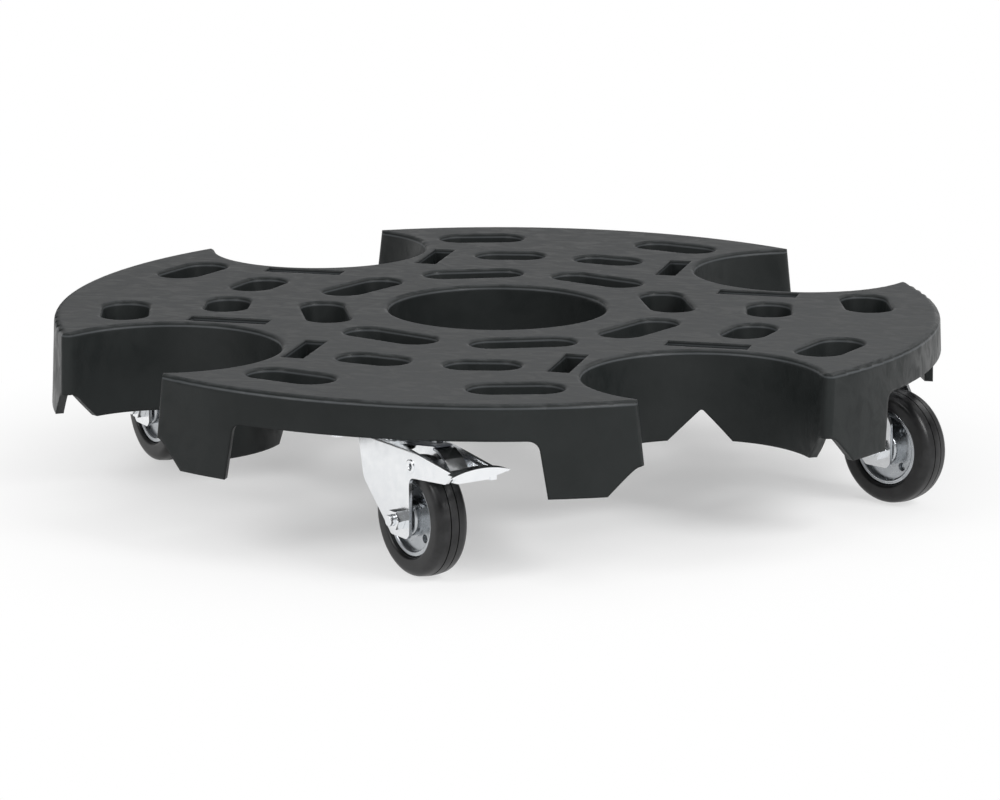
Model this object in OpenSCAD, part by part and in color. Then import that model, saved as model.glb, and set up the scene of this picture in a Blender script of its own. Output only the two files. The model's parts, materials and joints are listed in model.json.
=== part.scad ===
// Heavy plant pot caddy: a moulded four-lobed deck on four swivel castors, two of them braked.
// The origin is on the floor under the centre hole. +Z is up, and the front lobe points along -Y.

/* [Deck] */
// Radius of the deck at its top edge
deck_r = 334; // [325:1:340]
// Thickness of the top plate
top_t = 7; // [5:0.5:9]
// Thickness of the skirt and scallop walls
wall_t = 6; // [4:0.5:7]
// Depth of the skirt below the top
skirt_depth = 66; // [60:1:72]
// Draft of the moulded walls, in degrees
wall_draft = 2.5; // [1:0.5:4]
// Radius of the rounded top edges
edge_r = 4; // [2:0.5:5]
// Radius of the centre hole's rounded rim
hole_rim_r = 4; // [2:0.5:6]
// Radius of the straight wall of the centre hole
hole_r = 82.5; // [75:0.5:90]
// Radius of the four scallops at the top
scallop_r = 85.5; // [80:0.5:92]
// Distance of the scallop centres inside the deck's edge
scallop_inset = 53; // [46:1:58]
// Radius that rounds the upright lobe corners
corner_r = 6; // [4:0.5:8]
// Angle at which that rounding meets the walls, in degrees
corner_meet = 18; // [12:1:24]

/* [Pockets] */
// Width of the inner and middle pockets
pocket_w = 34; // [28:1:38]
// Width of the outer pockets
outer_pocket_w = 36; // [28:1:40]
// Length of the inner ring's pockets
inner_pocket_l = 79; // [60:1:84]
// Length of the middle ring's pockets
middle_pocket_l = 56; // [44:1:60]
// Length of the outer ring's pockets
outer_pocket_l = 69; // [50:1:74]
// Radius of the inner ring of pockets
inner_ring_r = 130.7; // [126:0.1:136]
// Radius of the middle ring of pockets
middle_ring_r = 205.6; // [200:0.1:210]
// Distance of the outer ring of pockets inside the deck's edge
outer_inset = 53; // [48:0.5:58]
// Angle of the inner pockets from the lobe's axis
inner_angle = 22.5; // [21:0.5:24]
// Angle of the middle pockets from the lobe's axis
middle_angle = 11.3; // [10:0.1:12]
// Angle of the outer pockets from the lobe's axis
outer_angle = 16.8; // [15:0.1:18]
// Draft of the pocket walls, in degrees
pocket_draft = 8; // [3:1:12]
// Radius of the rounded pocket rims
pocket_rim_r = 3; // [1:0.5:4]
// Depth of the sleeves around pockets and slots, below the top
sleeve_depth = 23; // [18:1:24]
// Thickness of the sleeves around pockets and slots
sleeve_t = 4; // [3:0.5:5]

/* [Strap slots] */
// Length of a strap slot
slot_l = 62; // [50:1:70]
// Width of a strap slot
slot_w = 17; // [12:1:20]
// Distance of the slot centres from the deck centre, along the lobe
slot_x = 182; // [178:1:188]
// Land between a slot and the scallop's face
slot_land = 8.8; // [8:0.1:11]
// Height of the V notch under each slot
v_notch_h = 23; // [15:1:28]
// Radius of the V notch's apex
v_notch_r = 2; // [1:0.5:3]

/* [Skirt] */
// Depth of the castor arch's top below the deck's top
arch_depth = 25.4; // [25:0.1:28]
// Half width of the arch at its top
arch_top_half = 109; // [105:1:118]
// Half width of the arch at the skirt's lower edge
arch_low_half = 116; // [112:1:125]
// Radius of the arch's upper corners
arch_corner_r = 8; // [4:0.5:10]
// Height of the notch under each lobe corner
corner_notch_h = 20; // [14:1:24]
// Radius of the notch's flat top, a little less than the corner's
corner_notch_flat = 4.5; // [3:0.5:6]

/* [Ribs] */
// Thickness of the ribs under the deck
rib_t = 5; // [4:0.5:6]
// Depth of the lobe ribs where the castor swings
lobe_rib_depth = 22; // [16:1:24]
// Depth of the diagonal ribs at the hub
diagonal_rib_depth = 46; // [30:1:56]

/* [Castor mount] */
// Depth of the castor seats below the deck's top
mount_depth = 25; // [23:0.5:25]
// Distance of the swivel axes inside the deck's edge
swivel_inset = 53; // [50:0.5:58]
// Length of a castor's top plate, across the lobe
plate_l = 94; // [88:1:96]
// Width of a castor's top plate, along the lobe
plate_w = 74; // [68:1:78]
// Thickness of a castor's top plate
plate_t = 3; // [2:0.5:4]
// Corner radius of a top plate
plate_corner_r = 7; // [3:1:9]
// Screw spacing along the plate
screw_pitch_l = 72; // [66:1:74]
// Screw spacing across the plate
screw_pitch_w = 52; // [48:1:54]
// Radius of the plate screws
screw_r = 3; // [2.5:0.25:3.5]
// Length of a screw beyond the plate
screw_len = 14; // [10:1:15]
// Radius of a screw's flanged head
screw_head_r = 6; // [5:0.5:6.5]
// Radius of a screw's hexagon, over its corners
screw_hex_r = 4.8; // [4:0.1:5]
// Height of a screw's head
screw_head_h = 4; // [3:0.5:4.5]
// Radius of the screw bosses under the deck
boss_r = 8; // [7:0.5:9]
// Land of a castor seat around the plate
seat_land = 4; // [2:0.5:5]

/* [Swivel] */
// Gap between the tyre and the fork's crown
crown_gap = 8.5; // [8:0.5:12]
// Diameter of the swivel balls
ball_d = 5; // [4.5:0.5:5.5]
// Spacing of balls and rollers, as a share of their diameter
ball_spacing = 1.15; // [1.1:0.05:1.4]
// Radius of the upper ball circle
upper_race_r = 18; // [17:0.5:19]
// Radius of the lower ball circle
lower_race_r = 9.7; // [9.5:0.1:10.5]
// Radius of the king pin
king_pin_r = 6; // [5:0.5:6.5]
// Thickness of the king pin's flange
king_flange_t = 3; // [2.5:0.5:3.5]
// Thickness of the dust skirt under the top plate
dust_skirt_t = 2; // [1.5:0.25:2.5]

/* [Fork] */
// Thickness of the pressed steel
steel_t = 2.5; // [2:0.25:3]
// Outer width of the fork
fork_w = 36; // [35:1:40]
// Radius of the fork's upper bends, outside
bend_r = 4; // [3.5:0.5:6]
// Distance from the swivel axis back to the axle
trail = 30; // [26:1:34]
// Reach of the crown ahead of the swivel axis
crown_front = 24; // [22:1:27]
// Reach of the crown behind the swivel axis
crown_back = 24; // [22:1:27]
// Height of the knee in the fork's edges above the axle
knee_rise = 20; // [16:1:24]
// Lean of the leading edge between the crown and the knee
knee_back = 7; // [4:0.5:9]
// Height of the fork's foot below the axle
foot_drop = 13; // [11:0.5:15]
// Half length of the fork's foot
foot_half = 11.5; // [9:0.5:13]
// Corner cut of the fork's foot
foot_cut = 3.5; // [2:0.5:4.5]
// Radius of the small corners of the fork's outline
outline_r = 3; // [2:0.5:3.5]
// Radius of the swept corners of the fork's outline
sweep_r = 12; // [8:1:14]

/* [Wheel] */
// Radius of the wheel
wheel_r = 42.5; // [40:0.5:44]
// Width of the tyre
tyre_w = 25; // [22:0.5:26]
// Radius of the tyre's shoulders
shoulder_r = 6; // [4:0.5:7]
// Width and depth of the grooves round the tread
groove = 0.8; // [0.5:0.1:1]
// Distance of those grooves from the tread's middle
groove_pos = 3.2; // [2:0.1:4]
// Radius of the tyre's inner edges
bead_r = 2.4; // [1.5:0.1:3]
// Distance of the rim's edges inside the tyre's sides
rim_inset = 2.7; // [2:0.1:3.5]
// Radius of the rim's tyre bed
bed_r = 26; // [24:0.5:27]
// Radius of the rolled rim edge
roll_r = 1.6; // [1.2:0.1:2]
// Thickness of the rim's pressed discs
disc_t = 2; // [1.5:0.25:2.5]
// Outer radius of the hub barrel
hub_r = 13; // [12:0.5:14]
// Length of the hub barrel
hub_l = 27; // [25:0.5:29]
// Radius of the hub barrel's rounded ends
hub_round = 2.5; // [1.5:0.25:2.5]
// Height of a rim's web above the joint of the two halves
web_rise = 4; // [3:0.25:5]
// Radius of the circle of rivets
rivet_ring_r = 18.7; // [18:0.1:19]
// Radius of a rivet's head
rivet_head_r = 2.6; // [2:0.1:3]
// Height of a rivet's head
rivet_head_h = 1.2; // [0.8:0.1:1.5]

/* [Axle] */
// Radius of the axle bolt
axle_r = 4; // [3:0.5:4]
// Width across the flats of the bolt's head and nut
hex_af = 13; // [12:0.5:14]
// Height of the bolt's head
bolt_head_h = 5.2; // [4:0.1:6]
// Height of the axle nut
nut_h = 6.5; // [5:0.5:8]
// Length of bolt beyond the nut
bolt_end = 3.5; // [2:0.5:5]
// Thickness of the axle sleeve
sleeve_wall = 2; // [1.5:0.25:2]
// Radius of a bearing roller
roller_r = 1.5; // [1.2:0.1:1.5]
// Distance of the rollers inside the hub's ends
roller_inset = 3; // [2:0.5:4]

/* [Brake] */
// Distance from the axle back to the pedal's pivot
pivot_back = 13.5; // [12:0.5:16]
// Height of the pivot above the axle
pivot_rise = 40; // [38:0.5:42]
// Radius of the pivot's hollow rivets
pivot_r = 2.5; // [2:0.25:3]
// Radius of the hole through those rivets
pivot_hole_r = 1.4; // [1:0.1:1.6]
// Radius of their rolled heads
pivot_head_r = 3.8; // [3.4:0.1:4.2]
// Height of their rolled heads
pivot_head_h = 0.8; // [0.6:0.1:1]
// Length of the fork's brake arms behind the pivot
arm_l = 53; // [48:1:56]
// Height of the arms' lower edge above the axle
arm_rise = 31.5; // [30:0.5:33]
// Rise of the arms' lower edge towards their ends
arm_lift = 4.5; // [3:0.5:6]
// Corner cut under the arms' ends
arm_cut = 9; // [7:0.5:10]
// Thickness of the pedal's steel
pedal_t = 1.8; // [1.5:0.1:2]
// Radius of the pedal's eyes
eye_r = 5.5; // [5:0.25:6]
// Width of the strap in the middle of the pedal
strap_w = 15; // [12:1:18]
// Distances of the strap's bends behind the pivot
strap_back = [12.5, 18, 27, 34, 41];
// Heights of the strap's bends above the pivot
strap_rise = [14.2, 13.5, 8.7, 1.5, 0];
// Radius of the strap's bends
strap_r = 2.5; // [2:0.25:3]
// Width of the pedal's tread
tread_w = 48; // [44:1:52]
// Length of the pedal's tread behind the arms
tread_l = 8; // [6:0.5:10]
// Height of the tread's ends above the pivot
tread_rise = 4.7; // [4:0.1:6]
// Rise of the tread's top edge in its middle
tread_arch = 3.8; // [3:0.1:5]
// Drop of the tread's lower edge in its middle
tread_drop = 3.5; // [2.5:0.1:4]
// Width of the tab under the tread
tab_w = 5; // [3:0.5:7]
// Gap between the tyre and the brake shoe, released
shoe_gap = 4.6; // [4.4:0.1:6]
// Directions of the shoe's ends from the axle, in degrees
shoe_angle = [44, 64];
// Thickness of the brake's leaf spring
leaf_t = 0.9; // [0.7:0.1:1.2]

/* [Pose] */
// Direction in plan that the front castor trails
front_steer = -41.9; // [-180:0.1:180]
// Direction in plan that the right castor trails
right_steer = -30.5; // [-180:0.1:180]
// Direction in plan that the back castor trails
back_steer = 138.1; // [-180:0.1:180]
// Direction in plan that the left castor trails
left_steer = -46.2; // [-180:0.1:180]

/* [Fits] */
// Radial clearance of a running fit
run_clear = 0.05; // [0.02:0.01:0.1]
// Clearance of a piece that is bolted in
bolt_clear = 0.1; // [0.05:0.05:0.3]
// Side clearance of the pedal between the arms
side_clear = 0.6; // [0.4:0.1:0.8]
// Clearance of moving pieces that don't touch
air = 0.3; // [0.3:0.1:0.5]

/* [Hidden] */
$fn = 64;
eps = 1;
deck_grey = "#4a4c4d";
zinc = "#c4c8cc";
rubber = "#1d1d1e";

SIDES = ["front", "right", "back", "left"];
LOBE = [-90, 0, 90, 180];
STEER = [front_steer, right_steer, back_steer, left_steer];
BRAKED = [0, 2];
EACH = ["top_plate", "plate_screws", "king_pin", "swivel_balls", "fork", "axle_bolt", "axle_nut",
  "axle_sleeve", "bearing_rollers", "rim_halves", "rim_rivets", "tyre"];
BRAKE = ["brake_pedal", "pedal_rivet", "brake_spring"];

// Levels above the floor
axle_z = wheel_r;
web_low = 2 * wheel_r + crown_gap;
web_top = web_low + steel_t;
plate_low = web_top + ball_d;
plate_top = plate_low + plate_t;
deck_top = plate_top + mount_depth;
deck_low = deck_top - skirt_depth;

// Places on the deck
scallop_pos = deck_r - scallop_inset;
outer_ring_r = deck_r - outer_inset;
swivel_r = deck_r - swivel_inset;
draft_slope = tan(wall_draft);
flare = skirt_depth * draft_slope;
scallop_x = scallop_pos * cos(45);
slot_y = scallop_x - sqrt(scallop_r ^ 2 - (scallop_x - slot_x) ^ 2) - slot_land - slot_w / 2;
corner_angle = 45 - acos((deck_r ^ 2 + scallop_pos ^ 2 - scallop_r ^ 2) / (2 * deck_r * scallop_pos));
corner = deck_r * [cos(corner_angle), sin(corner_angle)];
from_scallop = (corner - [scallop_x, scallop_x]) / scallop_r;
inward = from_scallop - corner / deck_r;
corner_half = asin(norm(inward) / 2);
corner_dir = atan2(-inward.y, -inward.x);
corner_back = corner_r * cos(corner_meet) / sin(corner_half);

// Places on a castor, with X back along its trail
fork_in = fork_w / 2 - steel_t;
pivot_x = trail + pivot_back;
pivot_z = axle_z + pivot_rise;
pivot = [pivot_x, pivot_z];
arm_end = pivot_x + arm_l;
ear_out = fork_in - side_clear;
ear_in = ear_out - pedal_t;
strap = [for (k = [0 : len(strap_back) - 1]) pivot + [strap_back[k], strap_rise[k]]];
sleeve_r = axle_r + run_clear + sleeve_wall;
roller_ring_r = sleeve_r + run_clear + roller_r;
hub_bore_r = roller_ring_r + roller_r + run_clear;

function unit(v) = v / norm(v);

function left(v) = [-v.y, v.x];

// Points of an outline whose corners are rounded, each by its own radius
function rounded(pts, radii, steps = 5) = [
  for (i = [0 : len(pts) - 1])
    let (n = len(pts), p = pts[i], a = unit(pts[(i + n - 1) % n] - p), b = unit(pts[(i + 1) % n] - p),
      half = acos(a * b) / 2, turn = 180 - 2 * half, reach = radii[i] / tan(half),
      c = p + unit(a + b) * radii[i] / sin(half), from = p + a * reach - c, to = p + b * reach - c)
    if (radii[i] == 0) p
    else for (k = [0 : steps])
      c + (from * sin(turn * (1 - k / steps)) + to * sin(turn * k / steps)) / sin(turn)
];

// Step from a path's corner to the same corner of a line along its left, one unit off
function mitre(path, i) =
  let (a = unit(path[max(i, 1)] - path[max(i, 1) - 1]),
    b = unit(path[min(i, len(path) - 2) + 1] - path[min(i, len(path) - 2)]), n = unit(left(a) + left(b)))
  n / (n * left(a));

// Outline of a bent strip on the left of a path, with rounded bends
function strip(path, t, r) =
  let (n = len(path), bend = [for (i = [0 : n - 1]) i == 0 || i == n - 1 ? 0 : r])
  rounded(concat(path, [for (i = [n - 1 : -1 : 0]) path[i] + t * mitre(path, i)]), concat(bend, bend));

module lobes() {
  for (a = LOBE) rotate(a) children();
}

module both_sides() {
  children();
  mirror([0, 1, 0]) children();
}

// Frame of a castor's seat: X out along the lobe
module at_seat(i) {
  rotate(LOBE[i]) translate([swivel_r, 0, 0]) children();
}

// Frame of a castor: X back along its trail, the swivel axis at the origin
module at_castor(i) {
  translate(swivel_r * [cos(LOBE[i]), sin(LOBE[i]), 0]) rotate(STEER[i]) children();
}

module at_axle(i) {
  at_castor(i) translate([trail, 0, axle_z]) rotate([-90, 0, 0]) children();
}

// Half section of a wall edge that rounds over to the top, seen from the hollow side
module flared_half(half, depth, angle, r) {
  centre = half + r * (1 - sin(angle)) / cos(angle);
  difference() {
    polygon([[0, eps], [centre, eps], [centre, -r], [centre - r * cos(angle), r * sin(angle) - r],
      [half - depth * tan(angle), -depth], [0, -depth]]);
    translate([centre, -r]) circle(r);
  }
}

module plain_half(half, depth, angle) {
  polygon([[0, 0], [half, 0], [half - depth * tan(angle), -depth], [0, -depth]]);
}

// A round-ended tapered bar along X: two half turns of a half section, and the bar between them
module round_ended(straight) {
  for (a = [0, 180])
    rotate(a) translate([straight / 2, 0, 0]) rotate(-90) rotate_extrude(angle = 180) children();
  rotate([90, 0, 90]) linear_extrude(straight, center = true) {
    children();
    mirror([1, 0]) children();
  }
}

// Lengths and widths of the inner, middle and outer pockets
POCKETS = [[inner_pocket_l, pocket_w], [middle_pocket_l, pocket_w], [outer_pocket_l, outer_pocket_w]];

// Places of one ring's pockets, at the deck's top
module on_pockets(i) {
  ring = [inner_ring_r, middle_ring_r, outer_ring_r][i];
  angle = [inner_angle, middle_angle, outer_angle][i];
  lobes() for (s = [-1, 1])
    rotate(s * angle) translate([ring, 0, deck_top]) rotate(90) children();
}

module pocket_cuts() {
  for (i = [0 : 2]) on_pockets(i) round_ended(POCKETS[i][0] - POCKETS[i][1])
    flared_half(POCKETS[i][1] / 2, sleeve_depth + eps, pocket_draft, pocket_rim_r);
}

module pocket_sleeves() {
  out = sleeve_t - top_t / 2 * tan(pocket_draft);
  for (i = [0 : 2]) on_pockets(i) translate([0, 0, -top_t / 2])
    round_ended(POCKETS[i][0] - POCKETS[i][1])
      plain_half(POCKETS[i][1] / 2 + out, sleeve_depth - top_t / 2, pocket_draft);
}

module on_slots() {
  lobes() both_sides() translate([slot_x, slot_y, deck_top]) children();
}

module slot_cuts() {
  on_slots() translate([0, 0, -sleeve_depth / 2])
    cube([slot_l, slot_w, sleeve_depth + 2 * eps], center = true);
}

module slot_sleeves() {
  on_slots() translate([0, 0, -(sleeve_depth + top_t / 2) / 2])
    cube([slot_l + 2 * sleeve_t, slot_w + 2 * sleeve_t, sleeve_depth - top_t / 2], center = true);
}

// The scallop's hollow, from the skirt's lower edge to the top
module scallop_cuts() {
  for (a = LOBE) rotate(a + 45) translate([scallop_pos, 0, deck_top])
    rotate_extrude($fn = 128) flared_half(scallop_r, skirt_depth + eps, wall_draft, edge_r);
}

// The upright lobe corners are rounded by a leaning cutter whose arc nearly touches both walls
module corner_cuts() {
  sweep = 90 - corner_half - corner_meet;
  lean = atan(draft_slope / sin(corner_half));
  far = 4 * corner_r;
  from = corner_r * [cos(sweep), sin(sweep)];
  to = from + corner_r * [-sin(sweep), cos(sweep)];
  lobes() both_sides() translate([corner.x, corner.y, deck_top]) rotate(corner_dir) rotate([0, -lean, 0])
    translate([-corner_back, 0, -2 * skirt_depth]) linear_extrude(3 * skirt_depth) difference() {
      polygon([[to.x, -to.y], [from.x, -from.y], from, to, [far, to.y], [far, -to.y]]);
      circle(corner_r);
    }
}

// The outer form, rounded at its top edge
module envelope() {
  in = edge_r * (1 - sin(wall_draft)) / cos(wall_draft);
  translate([0, 0, deck_low]) rotate_extrude($fn = 180) {
    polygon([[0, 0], [deck_r + flare, 0],
      [deck_r - in + edge_r * cos(wall_draft), skirt_depth - edge_r + edge_r * sin(wall_draft)],
      [deck_r - in, skirt_depth - edge_r], [deck_r - in, skirt_depth], [0, skirt_depth]]);
    translate([deck_r - in, skirt_depth - edge_r]) circle(edge_r);
  }
}

// The hollow under the top plate, inside the skirt and around the scallop and hub walls
module underside() {
  inner_low = deck_r + flare - wall_t;
  inner_top = deck_r + top_t * draft_slope - wall_t;
  high = skirt_depth + 2 * eps;
  difference() {
    translate([0, 0, deck_low - eps])
      cylinder(r1 = inner_low, r2 = inner_top, h = skirt_depth - top_t + eps, $fn = 180);
    translate([0, 0, deck_low - 2 * eps]) {
      for (a = LOBE) rotate(a + 45) translate([scallop_pos, 0, 0])
        cylinder(r1 = scallop_r - flare + wall_t, r2 = scallop_r + wall_t, h = high, $fn = 128);
      cylinder(r = hole_r + wall_t, h = high, $fn = 128);
    }
  }
}

module centre_hole() {
  translate([0, 0, deck_top])
    rotate_extrude($fn = 128) flared_half(hole_r, skirt_depth + eps, 0, hole_rim_r);
}

// The arch in each lobe's skirt, over the castor
module arch_cuts() {
  top = deck_top - arch_depth;
  lobes() translate([deck_r - 6 * wall_t, 0, 0]) rotate([90, 0, 90]) linear_extrude(9 * wall_t)
    polygon(rounded([[-arch_low_half, deck_low - eps], [-arch_top_half, top], [arch_top_half, top],
      [arch_low_half, deck_low - eps]], [0, arch_corner_r, arch_corner_r, 0]));
}

// Notches with 45 degree sides: one under each lobe corner, and a V under each strap slot
module notch_cuts() {
  wide = corner_notch_h + corner_notch_flat;
  v_half = v_notch_h + eps;
  reach = flare / sin(corner_half);
  lobes() both_sides() {
    translate([corner.x, corner.y, deck_low - eps]) rotate(corner_dir)
      translate([reach - corner_back, 0, 0])
        cylinder(r1 = wide + eps, r2 = corner_notch_flat, h = corner_notch_h + eps);
    translate([slot_x, slot_y + slot_w / 2, deck_low]) rotate([-90, 0, 0])
      linear_extrude(slot_land + 3 * wall_t)
        polygon(rounded([[-v_half, eps], [0, -v_notch_h], [v_half, eps]], [0, v_notch_r, 0]));
  }
}

module ribs() {
  hub = hole_r + wall_t / 2;
  seat = swivel_r - plate_w / 2;
  wall = scallop_pos - scallop_r - wall_t / 2;
  low = deck_top - lobe_rib_depth;
  hub_low = deck_top - diagonal_rib_depth;
  top = deck_top - top_t / 2;
  lobes() {
    rotate([90, 0, 0]) linear_extrude(rib_t, center = true)
      polygon([[hub, top], [seat, top], [seat, low], [(hub + seat) / 2, low], [hub, hub_low]]);
    rotate([90, 0, 45]) linear_extrude(rib_t, center = true)
      polygon([[hub, top], [wall, top], [wall, hub_low], [hub, hub_low]]);
  }
}

// Places of the four screws of a seat
module on_screws() {
  for (x = [-1, 1]) for (y = [-1, 1])
    translate([x * screw_pitch_w / 2, y * screw_pitch_l / 2, 0]) children();
}

// A castor's seat: a cored block with a boss for each screw and a ring round the king pin
module seat() {
  depth = mount_depth - top_t / 2;
  long = plate_l + 2 * seat_land;
  wide = plate_w + 2 * seat_land;
  ring = upper_race_r + dust_skirt_t;
  difference() {
    translate([-wide / 2, -long / 2, plate_top]) cube([wide, long, depth]);
    difference() {
      translate([rib_t - wide / 2, rib_t - long / 2, plate_top - eps])
        cube([wide - 2 * rib_t, long - 2 * rib_t, mount_depth - top_t + eps]);
      on_screws() translate([0, 0, plate_top - 2 * eps]) cylinder(r = boss_r, h = mount_depth);
      translate([0, 0, plate_top - 2 * eps]) cylinder(r = ring + rib_t, h = mount_depth);
      for (a = [0, 90]) rotate(a) translate([-long / 2, -rib_t / 2, plate_top - 2 * eps])
        cube([long, rib_t, mount_depth]);
    }
    translate([0, 0, plate_top - eps]) cylinder(r = ring, h = mount_depth - top_t + eps);
    on_screws() translate([0, 0, plate_top - eps])
      cylinder(r = screw_r + run_clear, h = screw_len + 2 * eps);
  }
}

module deck() {
  color(deck_grey) difference() {
    union() {
      difference() {
        envelope();
        underside();
        scallop_cuts();
        corner_cuts();
      }
      pocket_sleeves();
      slot_sleeves();
      ribs();
      for (i = [0 : 3]) at_seat(i) seat();
    }
    centre_hole();
    pocket_cuts();
    slot_cuts();
    arch_cuts();
    notch_cuts();
  }
}

// The pressed top plate, with the skirt that keeps dust off the balls
module top_plate() {
  l = plate_l / 2;
  w = plate_w / 2;
  r = plate_corner_r;
  skirt_r = upper_race_r + ball_d / 2 + 2 * dust_skirt_t;
  color(zinc) difference() {
    union() {
      translate([0, 0, plate_low]) linear_extrude(plate_t)
        polygon(rounded([[-w, -l], [w, -l], [w, l], [-w, l]], [r, r, r, r]));
      translate([0, 0, plate_low - ball_d + eps]) cylinder(r = skirt_r, h = ball_d);
    }
    translate([0, 0, plate_low - ball_d]) cylinder(r = skirt_r - dust_skirt_t, h = ball_d);
    cylinder(r = king_pin_r + run_clear, h = 2 * deck_top);
    on_screws() cylinder(r = screw_r + bolt_clear, h = 2 * deck_top);
  }
}

module plate_screws() {
  color(zinc) on_screws() {
    translate([0, 0, plate_low]) cylinder(r = screw_r, h = plate_t + screw_len);
    translate([0, 0, plate_low - screw_head_h / 3]) cylinder(r = screw_head_r, h = screw_head_h / 3);
    translate([0, 0, plate_low - screw_head_h]) cylinder(r = screw_hex_r, h = screw_head_h, $fn = 6);
  }
}

// The king pin, riveted into the top plate, with the flange that carries the lower balls
module king_pin() {
  flange_r = lower_race_r + ball_d / 2 + dust_skirt_t;
  flange_z = web_low - ball_d - king_flange_t;
  color(zinc) {
    translate([0, 0, flange_z]) cylinder(r = king_pin_r, h = plate_top - flange_z);
    translate([0, 0, flange_z])
      cylinder(r1 = flange_r - king_flange_t / 2, r2 = flange_r, h = king_flange_t);
  }
}

module ball_ring(r, z, count) {
  for (k = [0 : count - 1]) rotate(k * 360 / count)
    translate([r, 0, z]) sphere(ball_d / 2 - run_clear, $fn = 24);
}

module swivel_balls() {
  pitch = ball_d * ball_spacing;
  color("silver") {
    ball_ring(upper_race_r, web_top + ball_d / 2, floor(2 * PI * upper_race_r / pitch));
    ball_ring(lower_race_r, web_low - ball_d / 2, floor(2 * PI * lower_race_r / pitch));
  }
}

// A fork's outline from the crown's front, down the leading edge and round the foot
foot_z = axle_z - foot_drop;
foot_front = trail - foot_half;
foot_back = trail + foot_half;
LEAD = [[-crown_front, web_top], [-crown_front, web_low], [knee_back - crown_front, axle_z + knee_rise],
  [foot_front - foot_cut, foot_z + foot_cut], [foot_front, foot_z], [foot_back - foot_cut, foot_z],
  [foot_back, foot_z + foot_cut]];
LEAD_R = [0, sweep_r / 2, sweep_r, outline_r, outline_r, outline_r, outline_r];

// Side outline of a fork without a brake
function plain_side() = rounded(
  concat(LEAD, [[foot_back, axle_z + knee_rise], [crown_back, web_low], [crown_back, web_top]]),
  concat(LEAD_R, [sweep_r, sweep_r / 2, 0]));

// Side outline of a braked fork, whose cheeks run back as the arms of the brake
function braked_side() = let (low = axle_z + arm_rise) rounded(
  concat(LEAD, [[foot_back, low], [arm_end - arm_cut, low + arm_lift], [arm_end, low + arm_lift + arm_cut],
    [crown_back - outline_r, web_top]]),
  concat(LEAD_R, [sweep_r / 2, outline_r, outline_r / 2, 0]));

// A fork is a bent strip of steel, cut to its side outline, with two flat cheeks behind its crown
module fork(braked) {
  far = arm_end + crown_front;
  color(zinc) difference() {
    intersection() {
      union() {
        translate([-far, 0, 0]) rotate([90, 0, 90]) linear_extrude(far + crown_back) fork_section();
        translate([crown_back, 0, 0]) rotate([90, 0, 90]) linear_extrude(far) difference() {
          fork_section();
          translate([-fork_in, web_low - bend_r]) square([2 * fork_in, 2 * bend_r]);
        }
      }
      rotate([90, 0, 0]) linear_extrude(2 * fork_w, center = true)
        polygon(braked ? braked_side() : plain_side());
    }
    translate([0, 0, web_low - eps]) cylinder(r = king_pin_r + run_clear, h = steel_t + 2 * eps);
    translate([trail, 0, axle_z]) rotate([90, 0, 0])
      cylinder(r = axle_r + bolt_clear, h = 2 * fork_w, center = true);
    if (braked) translate([pivot.x, 0, pivot.y]) rotate([90, 0, 0])
      cylinder(r = pivot_r + bolt_clear, h = 2 * fork_w, center = true);
  }
}

// Section across the fork: an upside-down U of bent steel
module fork_section() {
  half = fork_w / 2;
  inner_r = bend_r - steel_t;
  difference() {
    polygon(rounded([[-half, 0], [half, 0], [half, web_top], [-half, web_top]], [0, 0, bend_r, bend_r]));
    polygon(rounded([[-fork_in, -eps], [fork_in, -eps], [fork_in, web_low], [-fork_in, web_low]],
      [0, 0, inner_r, inner_r]));
  }
}

// The axle bolt, its head on the far side
module axle_bolt() {
  half = fork_w / 2;
  color(zinc) {
    translate([0, 0, -half - nut_h - bolt_end]) cylinder(r = axle_r, h = fork_w + nut_h + bolt_end);
    translate([0, 0, half]) cylinder(d = hex_af / cos(30), h = bolt_head_h, $fn = 6);
  }
}

module axle_nut() {
  color(zinc) translate([0, 0, -fork_w / 2 - nut_h]) difference() {
    cylinder(d = hex_af / cos(30), h = nut_h, $fn = 6);
    translate([0, 0, -eps]) cylinder(r = axle_r + run_clear, h = nut_h + 2 * eps);
  }
}

module axle_sleeve() {
  color(zinc) difference() {
    cylinder(r = sleeve_r, h = 2 * fork_in, center = true);
    cylinder(r = axle_r + run_clear, h = 2 * fork_w, center = true);
  }
}

module bearing_rollers() {
  count = floor(PI * roller_ring_r / (roller_r * ball_spacing));
  color("silver") for (k = [0 : count - 1]) rotate(k * 360 / count) translate([roller_ring_r, 0, 0])
    cylinder(r = roller_r, h = hub_l - 2 * roller_inset, center = true, $fn = 24);
}

// Half section of one pressed rim: hub barrel with a collar, web, tyre bed and rolled edge
module rim_section() {
  bed_half = tyre_w / 2 - rim_inset - roll_r;
  barrel = hub_l / 2;
  collar = web_rise + 2 * disc_t;
  translate([hub_bore_r, 0]) square([hub_r - hub_bore_r, barrel - hub_round]);
  translate([hub_bore_r, 0]) square([hub_r - hub_round - hub_bore_r, barrel]);
  translate([hub_r - hub_round, barrel - hub_round]) intersection() {
    circle(hub_round);
    square(hub_round);
  }
  translate([hub_r - disc_t / 2, 0]) square([disc_t, collar]);
  translate([hub_bore_r, web_rise]) square([bed_r - hub_bore_r, disc_t]);
  translate([bed_r - disc_t, web_rise]) square([disc_t, bed_half - web_rise]);
  for (x = [bed_r - disc_t + roll_r, bed_r + roll_r / 2]) translate([x, bed_half]) circle(roll_r);
}

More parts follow.
